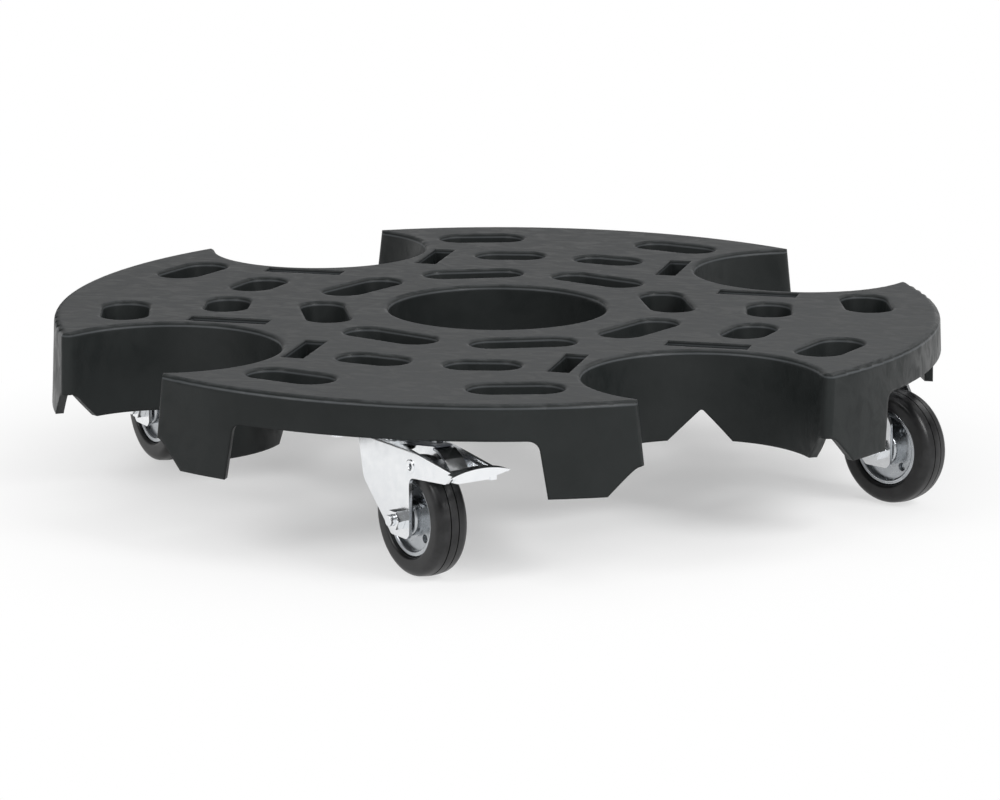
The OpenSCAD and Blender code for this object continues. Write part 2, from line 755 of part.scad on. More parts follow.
// Two pressed halves, dimpled where the rivets draw them together
module rim_halves() {
  dimple_r = rivet_head_r + 2 * run_clear;
  color(zinc) for (s = [0, 1]) mirror([0, 0, s]) translate([0, 0, run_clear / 2]) difference() {
    union() {
      rotate_extrude($fn = 96) rim_section();
      on_rivets() cylinder(r = dimple_r + disc_t / 2, h = web_rise + disc_t / 2, $fn = 32);
    }
    on_rivets() {
      translate([0, 0, -eps]) cylinder(r = rivet_head_r / 2 + run_clear, h = 2 * disc_t, $fn = 24);
      translate([0, 0, disc_t])
        cylinder(r1 = dimple_r, r2 = dimple_r + disc_t / 4, h = web_rise + eps, $fn = 32);
    }
  }
}

module on_rivets() {
  for (a = [45 : 90 : 315]) rotate(a) translate([rivet_ring_r, 0, 0]) children();
}

module rim_rivets() {
  seat = disc_t + run_clear / 2;
  color("silver") on_rivets() {
    cylinder(r = rivet_head_r / 2, h = 2 * seat, center = true, $fn = 24);
    for (s = [0, 1]) mirror([0, 0, s]) translate([0, 0, seat])
      cylinder(r1 = rivet_head_r, r2 = rivet_head_r - rivet_head_h / 2, h = rivet_head_h, $fn = 32);
  }
}

// The tyre's section: a tread with two fine grooves, round shoulders and flat sides
module tyre() {
  half = tyre_w / 2;
  seat = bed_r + run_clear;
  lip = bed_r + roll_r * 1.5 + run_clear;
  bead = half - rim_inset - 2 * roll_r - run_clear;
  color(rubber) rotate_extrude($fn = 128) difference() {
    union() {
      translate([seat, -bead]) square([lip - seat + eps, 2 * bead]);
      translate([lip + bead_r, -half]) square([wheel_r - shoulder_r - lip - bead_r, tyre_w]);
      translate([lip, bead_r - half]) square([wheel_r - shoulder_r - lip, tyre_w - 2 * bead_r]);
      translate([lip, shoulder_r - half]) square([wheel_r - lip, tyre_w - 2 * shoulder_r]);
      for (s = [-1, 1]) {
        translate([lip + bead_r, s * (half - bead_r)]) circle(bead_r);
        translate([wheel_r - shoulder_r, s * (half - shoulder_r)]) circle(shoulder_r);
      }
    }
    for (s = [-1, 1]) translate([wheel_r - groove, s * groove_pos - groove / 2])
      square([2 * groove, groove]);
  }
}

// The pedal: two side walls that turn on the rivets, joined by a floor and the brake shoe, with a strap
// up the middle and an arched tread behind
module brake_pedal() {
  end = arm_end + pedal_t;
  floor_front = strap[len(strap) - 1].x;
  color(zinc) difference() {
    union() {
      both_sides() translate([0, ear_out, 0]) rotate([90, 0, 0]) linear_extrude(pedal_t)
        polygon(pedal_wall(end));
      rotate([90, 0, 0]) linear_extrude(2 * ear_out, center = true) {
        translate([floor_front, pivot_z - pedal_t]) square([end - floor_front, pedal_t]);
        polygon(shoe_side());
      }
      rotate([90, 0, 0]) linear_extrude(strap_w, center = true)
        polygon(strip(concat(strap, [[end, pivot_z]]), -pedal_t, strap_r));
      translate([end - pedal_t, 0, pivot_z]) rotate([90, 0, 90]) tread();
    }
    translate([pivot.x, 0, pivot.y]) rotate([90, 0, 0])
      cylinder(r = pivot_r + run_clear, h = 2 * fork_w, center = true);
  }
}

// Side outline of a pedal's wall: an eye at the pivot, tapering back to the tread
function pedal_wall(end) = rounded([pivot + [-eye_r, -eye_r], pivot + [eye_r, -eye_r],
  [end, pivot_z - pedal_t], [end, pivot_z + pedal_t / 2], [strap[2].x, pivot_z + eye_r],
  pivot + [-eye_r, eye_r]], [eye_r - eps, sweep_r, 0, 0, sweep_r, eye_r - eps]);

// Side outline of the brake shoe, a strip that follows the tyre
function shoe_side() = let (r = wheel_r + shoe_gap, steps = 4,
    turn = [for (k = [0 : steps]) shoe_angle[0] + (shoe_angle[1] - shoe_angle[0]) * k / steps])
  [for (a = turn) [trail, axle_z] + r * [cos(a), sin(a)],
    for (k = [steps : -1 : 0]) [trail, axle_z] + (r + pedal_t) * [cos(turn[k]), sin(turn[k])]];

// The tread, seen along the pedal: a riser, an arched plate and a lens-shaped flange with a tab
module tread() {
  half = tread_w / 2;
  top_r = (half ^ 2 + tread_arch ^ 2) / (2 * tread_arch);
  low_r = (half ^ 2 + tread_drop ^ 2) / (2 * tread_drop);
  top = [0, tread_rise + tread_arch - top_r];
  linear_extrude(pedal_t) intersection() {
    translate(top) circle(top_r, $fn = 180);
    translate([-ear_out, -pedal_t]) square([2 * ear_out, tread_rise + tread_arch + eps]);
  }
  linear_extrude(tread_l) intersection() {
    translate(top) difference() {
      circle(top_r, $fn = 180);
      circle(top_r - pedal_t, $fn = 180);
    }
    translate([pedal_t - half, tread_rise - pedal_t]) square([tread_w - 2 * pedal_t, 2 * tread_arch]);
  }
  translate([0, 0, tread_l - pedal_t]) linear_extrude(pedal_t) {
    intersection() {
      translate(top) circle(top_r, $fn = 180);
      translate([0, tread_rise - tread_drop + low_r]) circle(low_r, $fn = 180);
    }
    translate([strap_w / 2, -pedal_t / 2]) square([tab_w, tread_rise]);
  }
}

// The hollow rivets that the pedal turns on, one in each cheek
module pedal_rivet() {
  head = fork_w / 2;
  color("silver") both_sides() translate([pivot.x, ear_in, pivot.y]) rotate([-90, 0, 0]) difference() {
    union() {
      cylinder(r = pivot_r, h = head - ear_in);
      translate([0, 0, head - ear_in])
        cylinder(r1 = pivot_head_r, r2 = pivot_head_r - pivot_head_h, h = pivot_head_h);
    }
    translate([0, 0, -eps]) cylinder(r = pivot_hole_r, h = fork_w);
  }
}

// A leaf spring under the crown that bears on the strap's front end
module brake_spring() {
  start = king_pin_r + 2 * ball_d - eps;
  rest = strap[0].y + air;
  path = [[start, web_low - leaf_t], [crown_back + leaf_t, web_low - leaf_t], [strap[0].x - leaf_t, rest],
    [strap[1].x - strap_r, rest]];
  color("silver") rotate([90, 0, 0]) linear_extrude(strap_w - 2 * eps, center = true)
    polygon(strip(path, leaf_t, leaf_t));
}

deck();
for (i = [0 : 3]) {
  at_seat(i) top_plate();
  at_seat(i) plate_screws();
  at_seat(i) king_pin();
  at_seat(i) swivel_balls();
  at_castor(i) fork(len(search(i, BRAKED)) > 0);
  at_axle(i) axle_bolt();
  at_axle(i) axle_nut();
  at_axle(i) axle_sleeve();
  at_axle(i) bearing_rollers();
  at_axle(i) rim_halves();
  at_axle(i) rim_rivets();
  at_axle(i) tyre();
}
for (b = BRAKED) {
  at_castor(b) brake_pedal();
  at_castor(b) pedal_rivet();
  at_castor(b) brake_spring();
}
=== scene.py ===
"""Looks of a heavy plant pot caddy: a moulded four-lobed deck on four swivel castors, two of them braked."""

import json
import math

import bmesh
import bpy
from bpy.props import FloatProperty, FloatVectorProperty, IntProperty, PointerProperty
from mathutils import Matrix, Vector


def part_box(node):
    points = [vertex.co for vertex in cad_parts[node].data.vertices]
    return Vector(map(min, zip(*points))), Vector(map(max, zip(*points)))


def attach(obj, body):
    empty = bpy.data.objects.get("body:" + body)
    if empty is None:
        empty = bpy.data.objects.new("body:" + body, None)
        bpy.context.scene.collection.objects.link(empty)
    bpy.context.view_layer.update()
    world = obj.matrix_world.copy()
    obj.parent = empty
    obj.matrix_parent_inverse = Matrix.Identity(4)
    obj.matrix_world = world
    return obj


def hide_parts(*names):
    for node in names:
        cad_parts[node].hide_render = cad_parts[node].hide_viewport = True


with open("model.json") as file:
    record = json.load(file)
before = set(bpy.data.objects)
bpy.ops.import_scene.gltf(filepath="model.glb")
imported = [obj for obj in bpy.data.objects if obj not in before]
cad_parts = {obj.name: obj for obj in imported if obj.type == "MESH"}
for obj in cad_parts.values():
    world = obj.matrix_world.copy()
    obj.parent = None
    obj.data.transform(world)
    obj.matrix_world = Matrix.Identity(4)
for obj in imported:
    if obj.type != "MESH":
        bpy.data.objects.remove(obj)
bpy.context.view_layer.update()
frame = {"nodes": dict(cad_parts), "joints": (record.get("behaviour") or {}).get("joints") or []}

bl_info = {
    "name": "Plant Pot Caddy",
    "version": (1, 0, 0),
    "blender": (4, 5, 0),
    "location": "View3D > Sidebar > Caddy",
    "description": "Dresses a four-lobed plant pot caddy on swivel castors",
    "category": "Add Mesh",
}

MM = 0.001
JOINTS = {joint["name"]: joint for joint in frame["joints"]}
SIDES = ("front", "right", "back", "left")
BRAKED = ("front", "back")

# Roughness of the metal finishes, from ground bearing steel to blued spring steel
ROUGHNESS = {"ground": 0.12, "bolt": 0.14, "pedal": 0.16, "fork": 0.18, "plate": 0.2, "rim": 0.24,
             "spring": 0.35}
# Roughness that plating gains where it is dull
DULLING = 0.08
# What counts as one point, as flat and as a sharp edge in a CAD node's triangles
ONE_POINT = 0.01 * MM
FLAT = math.radians(0.5)
SHARP = math.radians(30)
# Gap that is closed where a turned piece meets itself, and the angle past which its edges look sharp
SEAM = 0.001 * MM
CREASE = math.radians(40)
# Steps across each outer rib of a tyre's tread, and across half of the middle one
RIB_STEPS = 3
# Place and width of each softbox, in metres; all of them point at the caddy
SOFTBOXES = {
    "key": ((0.2, 0.4, 2.6), 2.4),
    "left": ((-1.09, -1.74, 1.6), 0.9),
    "right": ((1.84, -0.9, 1.6), 0.9),
    "back": ((1.5, 1.9, 1.9), 0.9),
}
# Heights between which the sky dims from horizon to zenith, as it lights and as it is seen
CAST_BAND = (0.1, 0.8)
SEEN_BAND = (0.0, 0.4)


def linear(hex_colour):
    """Linear RGB of an sRGB hex colour."""
    channels = [int(hex_colour[i:i + 2], 16) / 255 for i in (1, 3, 5)]
    return [c / 12.92 if c <= 0.04045 else ((c + 0.055) / 1.055) ** 2.4 for c in channels]


def colour(name, description, hex_colour):
    """A colour property whose default is an sRGB hex value."""
    return FloatVectorProperty(name=name, description=description, subtype="COLOR", size=3,
                               min=0, max=1, default=linear(hex_colour))


def length(name, description, millimetres):
    """A length property whose default is given in millimetres."""
    return FloatProperty(name=name, description=description, subtype="DISTANCE", unit="LENGTH",
                         default=millimetres * MM)


def angle(name, description, degrees):
    """An angle property whose default is given in degrees."""
    return FloatProperty(name=name, description=description, subtype="ANGLE", unit="ROTATION",
                         default=math.radians(degrees))


def power(name, description, watts):
    """A lamp's power property."""
    return FloatProperty(name=name, description=description, subtype="POWER", unit="POWER", default=watts)


class DeckFinish(bpy.types.PropertyGroup):
    """Finish of the moulded deck."""

    body: colour("Body", "Colour of the moulded plastic", "#1d2020")
    cloud: colour("Cloud", "Colour of the lighter clouds of mixed regrind", "#252828")
    # Painted sheen: paler streaks on the top stand partly for its scuffing and partly for the grazing sheen
    # that lights it
    scuff_and_sheen: colour("Scuffing and sheen", "Colour of the faint scuffs on the top", "#47494a")
    # Painted highlight: the pale line round the rounded rims stands for the light caught there
    highlighted: colour("Highlighted", "Colour of the rims where they are rubbed pale", "#474a4c")
    cloud_size: length("Cloud size", "Width of the clouds in the plastic", 60)
    flow_size: length("Flow size", "Width of the flow marks", 22)
    grain_size: length("Grain size", "Width of the moulded grain, drawn coarse enough to show", 1.6)
    edge: length("Edge", "Width over which the moulding's edges are seen as rounded", 3)
    fillet: length("Fillet", "Radius of the rounded edge round the deck's top", 4)


class CastorFinish(bpy.types.PropertyGroup):
    """Finish of the castors, and the sizes of their tyres and pivot rivets."""

    zinc: colour("Zinc", "Colour of the bright zinc plating", "#f8f9fa")
    zinc_dull: colour("Dull zinc", "Colour of the plating where it is duller", "#e8ebee")
    rim: colour("Rim", "Colour of the rims' plating", "#cdd0d3")
    rim_dull: colour("Dull rim", "Colour of the rims' plating where it is duller", "#a6aaae")
    spring: colour("Spring steel", "Colour of the blued spring steel", "#5a5e66")
    rubber: colour("Rubber", "Colour of the black rubber", "#151516")
    rubber_worn: colour("Worn rubber", "Colour of the rubber where it has bloomed", "#2a2a2b")
    spangle_size: length("Spangle size", "Width of the plating's clouds", 9)
    brush_size: length("Brush size", "Spacing of the rolled lines in the steel", 0.9)
    shoulder: length("Shoulder", "Radius of the tyre's shoulders", 6)
    bead_depth: length("Bead depth", "Depth of the tyre between the rim's rolled edges", 2.4)
    bead_inset: length("Bead inset", "Distance of the bead's sides from the tyre's sides", 6)
    inner_edge: length("Inner edge", "Radius of the tyre's inner edges, beside the rim", 2.4)
    groove: length("Groove", "Width and depth of the two fine grooves round the tread", 0.8)
    groove_place: length("Groove place", "Distance of each groove from the middle of the tread", 3.2)
    rib_crown: length("Rib crown", "Rise of the middle of the tread over its shoulders", 0.6)
    cut_edge: length("Cut edge", "Rounding of the cut edges of sheet, bolts and nuts", 0.4)
    rivet_stem: length("Rivet stem", "Outer radius of the pivot rivets' stems", 2.5)
    rivet_bore: length("Rivet bore", "Radius of the hole through the pivot rivets", 1.9)
    rivet_flare: length("Rivet flare", "Radius of the flare at the mouth of that hole", 1.4)
    rivet_head: length("Rivet head", "Radius of the pivot rivets' rolled heads", 5)
    rivet_rise: length("Rivet rise", "Height of the rolled heads over the fork's cheeks", 0.8)
    tyre_turns: IntProperty(name="Tyre turns", description="Steps round a tyre", default=144, min=24)
    rivet_turns: IntProperty(name="Rivet turns", description="Steps round a pivot rivet", default=48, min=12)


class StageSettings(bpy.types.PropertyGroup):
    """Camera, floor and lights."""

    azimuth: angle("Azimuth", "Turn of the camera round the caddy, to the right", 14.21)
    elevation: angle("Elevation", "Height of the camera above the horizon", 11.59)
    distance: length("Distance", "Distance of the camera from the middle of the deck's top", 3173.6)
    aim: FloatVectorProperty(name="Aim", description="Point that the camera looks at", subtype="XYZ",
                             unit="LENGTH", default=(0.002, 0.0005, 0.0564))
    lens: FloatProperty(name="Lens", description="Focal length in millimetres", default=150.76)
    floor: colour("Floor", "Colour of the pale floor", "#f8f8f8")
    floor_glow: FloatProperty(name="Floor glow", subtype="FACTOR", default=0.4, min=0, max=1,
                              description="Share of plain white in the floor near the caddy")
    floor_near: length("Near floor", "Radius of the floor that keeps the caddy's whole shadow", 140)
    floor_far: length("Far floor", "Radius past which the floor is seen as plain white", 520)
    floor_size: length("Floor size", "Width of the floor", 40000)
    horizon: FloatProperty(name="Horizon", default=0.55,
                           description="Strength of the pale light near the horizon")
    zenith: FloatProperty(name="Zenith", default=0.2, description="Strength of the dimmer light overhead")
    key: power("Key", "Power of the overhead softbox", 10)
    left: power("Left", "Power of the softbox in front on the left", 20)
    right: power("Right", "Power of the softbox in front on the right", 36)
    back: power("Back", "Power of the softbox behind", 8)


# Sockets go by number where a node repeats their names. A map range has its value at 0, its range at 1 and 2
# and its new range at 3 and 4. A mix has its factor at 0, its numbers at 2 and 3 and its colours at 6 and 7.
def add_node(tree, kind, inputs=None, **settings):
    """Adds a node with its settings, and sets or links its inputs."""
    node = tree.nodes.new(kind)
    for name, value in settings.items():
        setattr(node, name, value)
    for socket, value in (inputs or {}).items():
        if isinstance(value, bpy.types.NodeSocket):
            tree.links.new(value, node.inputs[socket])
        else:
            node.inputs[socket].default_value = value
    return node


def new_material(name):
    """An empty node material and its tree."""
    material = bpy.data.materials.new(name)
    material.use_nodes = True
    material.node_tree.nodes.clear()
    return material, material.node_tree


def rgba(colour_value):
    """A colour property's value with full alpha."""
    return (*colour_value, 1)


def moulded_polyolefin():
    """Recycled polyolefin, moulded matt: a dark grey that is cloudy from mixed regrind, with faint flow
    marks, a fine eroded grain, a top painted a little paler in streaks, partly for its scuffing and partly as
    painted sheen, and a painted highlight line round its rims."""
    deck = bpy.context.scene.caddy_deck
    material, tree = new_material("moulded_recycled_polyolefin")
    place = add_node(tree, "ShaderNodeTexCoord").outputs["Object"]
    clouds = add_node(tree, "ShaderNodeTexNoise",
                      {"Vector": place, "Scale": 1 / deck.cloud_size, "Detail": 4})
    drawn = add_node(tree, "ShaderNodeMapping",
                     {"Vector": place, "Rotation": (0, 0, 0.5), "Scale": (1, 1.8, 1)})
    flow = add_node(tree, "ShaderNodeTexNoise",
                    {"Vector": drawn.outputs[0], "Scale": 1 / deck.flow_size, "Detail": 4, "Roughness": 0.55,
                     "Distortion": 1.2})
    grain = add_node(tree, "ShaderNodeTexNoise",
                     {"Vector": place, "Scale": 1 / deck.grain_size, "Detail": 3})
    patches = add_node(tree, "ShaderNodeMapRange", {0: clouds.outputs["Fac"], 1: 0.35, 2: 0.7})
    cloudy = add_node(tree, "ShaderNodeMix", {0: patches.outputs[0], 6: rgba(deck.body), 7: rgba(deck.cloud)},
                      data_type="RGBA")
    rounded = add_node(tree, "ShaderNodeBevel", {"Radius": deck.edge}, samples=6)
    height = add_node(tree, "ShaderNodeSeparateXYZ", {0: place}).outputs["Z"]
    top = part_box("deck")[1].z
    # Levels down the rounded edge, as shares of its radius: the scuffing and painted sheen of the top end,
    # then comes the painted highlight line
    scuffs_and_sheen, bare, dark, pale, highlight_end, wall = [top - share * deck.fillet
                                            for share in (0.05, 0.35, 0.45, 0.58, 0.72, 0.9)]
    # Top mask: the top is painted paler in streaks, partly for its scuffing and partly as painted sheen
    on_top = add_node(tree, "ShaderNodeMapRange", {0: height, 1: bare, 2: scuffs_and_sheen})
    off_top = add_node(tree, "ShaderNodeMapRange", {0: height, 1: dark, 2: pale})
    off_wall = add_node(tree, "ShaderNodeMapRange", {0: height, 1: wall, 2: highlight_end})
    # Painted highlight: a pale band partway down the rounded edge, where the light would catch it
    rim = add_node(tree, "ShaderNodeMath", {0: off_wall.outputs[0], 1: off_top.outputs[0]},
                   operation="MULTIPLY")
    streaks = add_node(tree, "ShaderNodeMapRange", {0: flow.outputs["Fac"], 1: 0.4, 2: 0.62, 3: 0.3, 4: 0.95})
    # Painted sheen mixed with scuffing: streaks of paler colour over the whole top
    scuff_and_sheen_mask = add_node(tree, "ShaderNodeMath", {0: on_top.outputs[0], 1: streaks.outputs[0]},
                       operation="MULTIPLY")
    scuffed_and_sheened = add_node(tree, "ShaderNodeMix",
                    {0: scuff_and_sheen_mask.outputs[0], 6: cloudy.outputs[2], 7: rgba(deck.scuff_and_sheen)}, data_type="RGBA")
    # Paints the pale highlight line over the body
    base = add_node(tree, "ShaderNodeMix", {0: rim.outputs[0], 6: scuffed_and_sheened.outputs[2], 7: rgba(deck.highlighted)},
                    data_type="RGBA")
    rough = add_node(tree, "ShaderNodeMapRange", {0: flow.outputs["Fac"], 1: 0.38, 2: 0.64, 3: 0.36, 4: 0.54})
    waves = add_node(tree, "ShaderNodeBump", {"Height": flow.outputs["Fac"], "Strength": 0.06,
                                              "Distance": 1 * MM, "Normal": rounded.outputs[0]})
    pitted = add_node(tree, "ShaderNodeBump", {"Height": grain.outputs["Fac"], "Strength": 0.25,
                                               "Distance": 0.15 * MM, "Normal": waves.outputs[0]})
    shader = add_node(tree, "ShaderNodeBsdfPrincipled", {
        "Base Color": base.outputs[2], "Roughness": rough.outputs[0], "IOR": 1.5, "Specular IOR Level": 0.2,
        "Normal": pitted.outputs[0]})
    add_node(tree, "ShaderNodeOutputMaterial", {"Surface": shader.outputs[0]})
    return material


def plated_steel(name, bright, dull, roughness):
    """Bright zinc plate over rolled steel: a clean metal with soft clouds in the plating and the faint
    lines of the rolled sheet under it."""
    castor = bpy.context.scene.caddy_castor
    material, tree = new_material(name)
    place = add_node(tree, "ShaderNodeTexCoord").outputs["Object"]
    spangle = add_node(tree, "ShaderNodeTexNoise",
                       {"Vector": place, "Scale": 1 / castor.spangle_size, "Detail": 5, "Distortion": 0.4})
    rolled = add_node(tree, "ShaderNodeMapping", {"Vector": place, "Scale": (1, 1, 0.06)})
    lines = add_node(tree, "ShaderNodeTexNoise",
                     {"Vector": rolled.outputs[0], "Scale": 1 / castor.brush_size, "Detail": 2})
    cloudy = add_node(tree, "ShaderNodeMix", {0: spangle.outputs["Fac"], 6: rgba(dull), 7: rgba(bright)},
                      data_type="RGBA")
    rough = add_node(tree, "ShaderNodeMapRange", {0: spangle.outputs["Fac"], 1: 0.3, 2: 0.7,
                                                  3: roughness + DULLING, 4: roughness})
    scored = add_node(tree, "ShaderNodeBump", {"Height": lines.outputs["Fac"], "Strength": 0.1,
                                               "Distance": 0.05 * MM})
    shader = add_node(tree, "ShaderNodeBsdfPrincipled", {
        "Base Color": cloudy.outputs[2], "Metallic": 1, "Roughness": rough.outputs[0],
        "Normal": scored.outputs[0]})
    add_node(tree, "ShaderNodeOutputMaterial", {"Surface": shader.outputs[0]})
    return material


def vulcanised_rubber():
    """Black vulcanised rubber, moulded smooth: nearly black with a soft sheen and a faint grey bloom."""
    castor = bpy.context.scene.caddy_castor
    material, tree = new_material("vulcanised_rubber")
    place = add_node(tree, "ShaderNodeTexCoord").outputs["Object"]
    bloom = add_node(tree, "ShaderNodeTexNoise",
                     {"Vector": place, "Scale": 1 / castor.spangle_size, "Detail": 5})
    grain = add_node(tree, "ShaderNodeTexNoise",
                     {"Vector": place, "Scale": 1 / castor.brush_size, "Detail": 2})
    faded = add_node(tree, "ShaderNodeMapRange", {0: bloom.outputs["Fac"], 1: 0.4, 2: 0.75})
    base = add_node(tree, "ShaderNodeMix",
                    {0: faded.outputs[0], 6: rgba(castor.rubber), 7: rgba(castor.rubber_worn)},
                    data_type="RGBA")
    rough = add_node(tree, "ShaderNodeMapRange", {0: bloom.outputs["Fac"], 1: 0.3, 2: 0.7, 3: 0.3, 4: 0.42})
    pitted = add_node(tree, "ShaderNodeBump", {"Height": grain.outputs["Fac"], "Strength": 0.15,
                                               "Distance": 0.1 * MM})
    shader = add_node(tree, "ShaderNodeBsdfPrincipled", {
        "Base Color": base.outputs[2], "Roughness": rough.outputs[0], "IOR": 1.52, "Specular IOR Level": 0.35,
        "Normal": pitted.outputs[0]})
    add_node(tree, "ShaderNodeOutputMaterial", {"Surface": shader.outputs[0]})
    return material


def dress(material, *names):
    """Gives CAD nodes a material."""
    for name in names:
        mesh = frame["nodes"][name].data
        mesh.materials.clear()
        mesh.materials.append(material)


def soften(*names):
    """Rounds the sharp edges of CAD nodes a little, so that they catch the light as real ones do."""
    castor = bpy.context.scene.caddy_castor
    for name in names:
        node = frame["nodes"][name]
        weld = node.modifiers.new("weld", "WELD")
        weld.merge_threshold = ONE_POINT
        flat = node.modifiers.new("flat", "DECIMATE")
        flat.decimate_type = "DISSOLVE"
        flat.angle_limit = FLAT
        edge = node.modifiers.new("edge", "BEVEL")
        edge.width = castor.cut_edge
        edge.segments = 2
        edge.limit_method = "ANGLE"
        edge.angle_limit = SHARP
        node.modifiers.new("shade", "WEIGHTED_NORMAL")


def each_side(*names):
    """Node names of a piece that every castor has."""
    return [f"{name}_{side}" for side in SIDES for name in names]


def arc(centre, radius, start, end, steps):
    """Points round an arc of a section, in degrees."""
    angles = [math.radians(start + (end - start) * k / steps) for k in range(steps + 1)]
    return [(centre[0] + radius * math.cos(a), centre[1] + radius * math.sin(a)) for a in angles]


def hinge_frame(hinge):
    """Matrix of a hinge's own frame: its axis along X, through its middle."""
    joint = JOINTS[hinge]
    turn = Vector((1, 0, 0)).rotation_difference(Vector(joint["axis"])).to_matrix().to_4x4()
    return Matrix.Translation(joint["pos_m"]) @ turn


def reach(node, hinge):
    """Least and greatest distance of a CAD node's points from a hinge's middle, along its axis."""
    joint = JOINTS[hinge]
    middle, across = Vector(joint["pos_m"]), Vector(joint["axis"])
    along = [abs((vert.co - middle).dot(across)) for vert in frame["nodes"][node].data.vertices]
    return min(along), max(along)


def tyre_section(radius, half, bead):
    """Points (across, out) round a tyre's section: bead, sides, shoulders and ribbed tread."""
    castor = bpy.context.scene.caddy_castor
    shoulder = castor.shoulder
    seat = half - castor.bead_inset
    crown = radius - castor.rib_crown
    tread = half - shoulder
    lip = castor.groove / 2
    edge = castor.inner_edge
    right = [(seat, bead - castor.bead_depth), (seat, bead)]
    right += arc((half - edge, bead + edge), edge, -90, 0, steps=5)
    right += arc((half - shoulder, crown - shoulder), shoulder, 0, 90, steps=8)[:-1]
    ribs = [tread, castor.groove_place + lip, castor.groove_place - lip, lip]
    for outer, inner in (ribs[:2], ribs[2:]):
        across = [outer + (inner - outer) * k / RIB_STEPS for k in range(RIB_STEPS + 1)]
        right += [(x, radius - castor.rib_crown * (x / tread) ** 2) for x in across]
        if inner > lip:
            right += [(x, radius - castor.rib_crown - castor.groove) for x in ribs[1:3]]
    left = [(-x, y) for x, y in reversed(right)]
    return right + left


def rivet_section(inner, outer):
    """Points (across, out) round a hollow rivet's section: bore, flared mouth, rolled head and stem."""
    castor = bpy.context.scene.caddy_castor
    bore, flare, head = castor.rivet_bore, castor.rivet_flare, castor.rivet_head
    rise = castor.rivet_rise
    mouth = arc((outer - flare, bore + flare), flare, -90, 0, steps=6)
    roll = arc((outer - rise, head - rise), rise, 0, 90, steps=6)
    return [(inner, bore), *mouth, *roll, (outer - rise, castor.rivet_stem), (inner, castor.rivet_stem)]


def spun_rings(name, sections, place, turns):
    """A piece made by turning closed sections of (across, out) points once round a hinge."""
    shape = bmesh.new()
    for section in sections:
        ring = [shape.verts.new((x, 0, y)) for x, y in section]
        edges = [shape.edges.new((a, b)) for a, b in zip(ring, ring[1:] + ring[:1])]
        bmesh.ops.spin(shape, geom=ring + edges, cent=(0, 0, 0), axis=(1, 0, 0), angle=2 * math.pi,
                       steps=turns, use_merge=True)
    bmesh.ops.remove_doubles(shape, verts=shape.verts, dist=SEAM)
    bmesh.ops.recalc_face_normals(shape, faces=shape.faces)
    bmesh.ops.transform(shape, matrix=place, verts=shape.verts)
    mesh = bpy.data.meshes.new(name)
    shape.to_mesh(mesh)
    shape.free()
    mesh.shade_smooth()
    mesh.set_sharp_from_angle(angle=CREASE)
    piece = bpy.data.objects.new(name, mesh)
    bpy.context.scene.collection.objects.link(piece)
    return piece


class CADDY_OT_deck(bpy.types.Operator):
    """Finish the moulded deck"""

    bl_idname = "caddy.deck"
    bl_label = "Deck"

    def execute(self, context):
        dress(moulded_polyolefin(), "deck")
        return {"FINISHED"}


class CADDY_OT_swivels(bpy.types.Operator):
    """Finish the top plates, their screws, the king pins and the swivel balls"""

    bl_idname = "caddy.swivels"
    bl_label = "Swivels"

    def execute(self, context):
        castor = context.scene.caddy_castor
        plate = plated_steel("zinc_plated_top_plate", castor.zinc, castor.zinc_dull, ROUGHNESS["plate"])
        ball = plated_steel("hardened_bearing_steel", castor.zinc, castor.zinc, ROUGHNESS["ground"])
        dress(plate, *each_side("top_plate", "plate_screws", "king_pin"))
        dress(ball, *each_side("swivel_balls"))
        return {"FINISHED"}


class CADDY_OT_forks(bpy.types.Operator):
    """Finish the pressed forks and the axle bolts, nuts and sleeves"""

    bl_idname = "caddy.forks"
    bl_label = "Forks"

    def execute(self, context):
        castor = context.scene.caddy_castor
        sheet = plated_steel("zinc_plated_fork", castor.zinc, castor.zinc_dull, ROUGHNESS["fork"])
        bolt = plated_steel("zinc_plated_bolt", castor.zinc, castor.zinc_dull, ROUGHNESS["bolt"])
        dress(sheet, *each_side("fork"))
        dress(bolt, *each_side("axle_bolt", "axle_nut", "axle_sleeve"))
        soften(*each_side("fork", "axle_bolt", "axle_nut"))
        return {"FINISHED"}


class CADDY_OT_wheels(bpy.types.Operator):
    """Finish the rims, rivets and bearings, and mould the tyres"""

    bl_idname = "caddy.wheels"
    bl_label = "Wheels"

    def execute(self, context):
        castor = context.scene.caddy_castor
        rim = plated_steel("zinc_plated_rim", castor.rim, castor.rim_dull, ROUGHNESS["rim"])
        roller = plated_steel("ground_bearing_steel", castor.zinc, castor.zinc, ROUGHNESS["ground"])
        dress(rim, *each_side("rim_halves", "rim_rivets"))
        dress(roller, *each_side("bearing_rollers"))
        rubber = vulcanised_rubber()
        for side in SIDES:
            low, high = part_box(f"tyre_{side}")
            rim_low, rim_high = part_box(f"rim_halves_{side}")
            roll = f"roll_{side}"
            half = reach(f"tyre_{side}", roll)[1]
            section = tyre_section((high.z - low.z) / 2, half, (rim_high.z - rim_low.z) / 2)
            tyre = spun_rings(f"moulded_tyre_{side}", [section], hinge_frame(roll), castor.tyre_turns)
            tyre.data.materials.append(rubber)
            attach(tyre, f"wheel_{side}")
            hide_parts(f"tyre_{side}")
        return {"FINISHED"}


